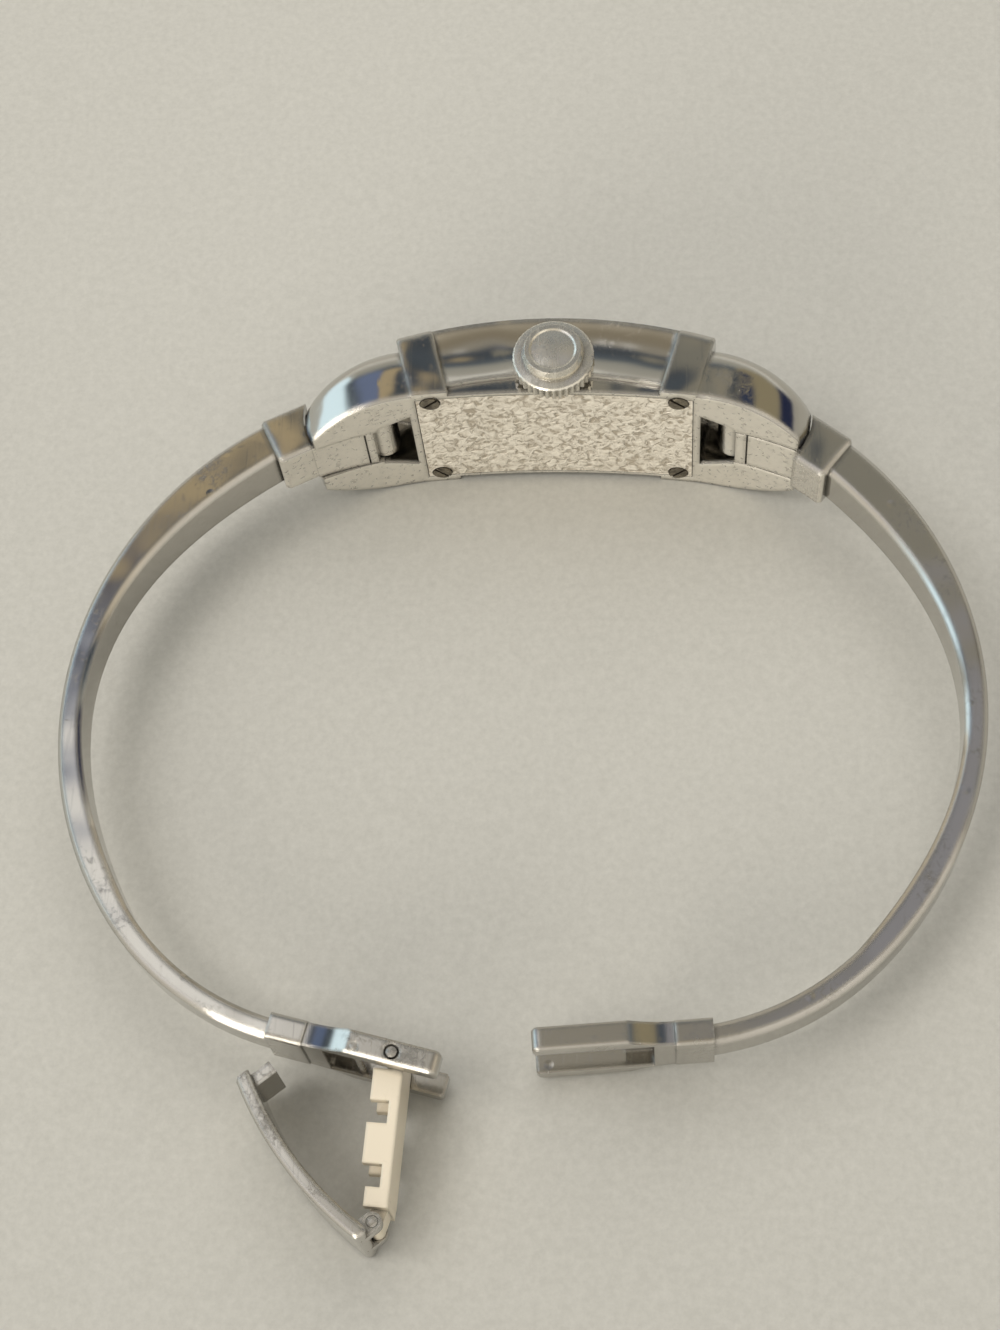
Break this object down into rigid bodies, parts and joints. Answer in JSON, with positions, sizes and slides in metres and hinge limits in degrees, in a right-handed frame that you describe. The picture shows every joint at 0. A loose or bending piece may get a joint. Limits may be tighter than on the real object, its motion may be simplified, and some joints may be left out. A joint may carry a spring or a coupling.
{
  "type": "bangle watch",
  "caption": "Slim bangle watch with a curved rectangular case, hinged oval bangle arms and a fold-over clasp standing open, lying on its flank.",
  "frame": {"origin": "middle of the footprint at the lowest point, the watch lying on the 9 o'clock flank of its case", "axes": "+Z along the crown away from the case, +X from 6 to 12 o'clock, +Y from the wrist to the dial"},
  "size_m": [0.0592, 0.0602, 0.0137],
  "materials": {
    "polished_steel": "polished",
    "brushed_steel": "brushed",
    "dark_steel": "polished",
    "gasket_rubber": "matte",
    "sapphire": "gloss",
    "dial_lacquer": "satin",
    "holder_plastic": "matte",
    "movement_brass": "satin",
    "board": "satin",
    "copper_wire": "satin"
  },
  "bodies": {
    "case": {"case_middle": "polished_steel", "case_back": "brushed_steel", "case_back_screws": "polished_steel", "case_back_gasket": "gasket_rubber", "crystal": "sapphire", "crystal_gasket": "gasket_rubber", "dial": "dial_lacquer", "hour_markers": "dark_steel", "movement_holder": "holder_plastic", "main_plate": "movement_brass", "train_bridge": "movement_brass", "circuit_board": "board", "coil": "copper_wire", "battery": "brushed_steel", "battery_clamp": "brushed_steel", "crown_tube": "brushed_steel", "hinge_pin_12": "polished_steel", "hinge_pin_6": "polished_steel"},
    "crown_slide": {"stem_detent": "brushed_steel"},
    "crown_group": {"crown": "polished_steel", "stem": "brushed_steel", "crown_gasket": "gasket_rubber"},
    "minute_group": {"minute_hand": "dark_steel", "cannon_pinion": "brushed_steel"},
    "hour_group": {"hour_hand": "dark_steel", "hour_wheel": "movement_brass"},
    "minute_wheel_group": {"minute_wheel": "movement_brass"},
    "bangle_12": {"end_piece_12": "polished_steel", "arm_12": "polished_steel", "clasp_head_12": "polished_steel"},
    "bangle_6": {"end_piece_6": "polished_steel", "arm_6": "polished_steel", "clasp_head_6": "polished_steel", "link_pin": "polished_steel", "catch_bar": "polished_steel"},
    "link": {"clasp_link": "polished_steel", "cover_pin": "polished_steel"},
    "cover": {"clasp_cover": "polished_steel"}
  },
  "joints": [
    {"name": "crown_pull", "type": "slide", "parent": "case", "child": "crown_slide", "axis": [0, 0, 1], "range_m": [0, 0.0006]},
    {"name": "crown_turn", "type": "hinge", "parent": "crown_slide", "child": "crown_group", "pos_m": [0.00186, 0.02638, 0.013], "axis": [0, 0, 1], "continuous": true},
    {"name": "minute_turn", "type": "hinge", "parent": "case", "child": "minute_group", "pos_m": [0.00186, 0.0284, 0.00585], "axis": [0, -1, 0], "continuous": true},
    {"name": "hour_turn", "type": "hinge", "parent": "case", "child": "hour_group", "pos_m": [0.00186, 0.0281, 0.00585], "axis": [0, -1, 0], "continuous": true},
    {"name": "minute_wheel_turn", "type": "hinge", "parent": "case", "child": "minute_wheel_group", "pos_m": [0.00186, 0.0273, 0.0041], "axis": [0, -1, 0], "continuous": true},
    {"name": "arm_12_swing", "type": "hinge", "parent": "case", "child": "bangle_12", "pos_m": [0.01386, 0.02503, 0.00585], "axis": [0, 0, 1], "range_deg": [0, 17.5]},
    {"name": "arm_6_swing", "type": "hinge", "parent": "case", "child": "bangle_6", "pos_m": [-0.01014, 0.02503, 0.00585], "axis": [0, 0, -1], "range_deg": [-6.5, 7.5]},
    {"name": "link_swing", "type": "hinge", "parent": "bangle_6", "child": "link", "pos_m": [-0.00653, -0.0192, 0.00585], "axis": [0, 0, 1], "range_deg": [-20, 86]},
    {"name": "cover_fold", "type": "hinge", "parent": "link", "child": "cover", "pos_m": [-0.00724, -0.02888, 0.00585], "axis": [0, 0, 1], "range_deg": [-42.6, 10]}
  ],
  "couplings": [
    {"joint": "hour_turn", "follows": "minute_turn", "ratio": 0.083333},
    {"joint": "minute_wheel_turn", "follows": "minute_turn", "ratio": -0.33333},
    {"joint": "cover_fold", "follows": "link_swing", "ratio": -0.4942}
  ]
}
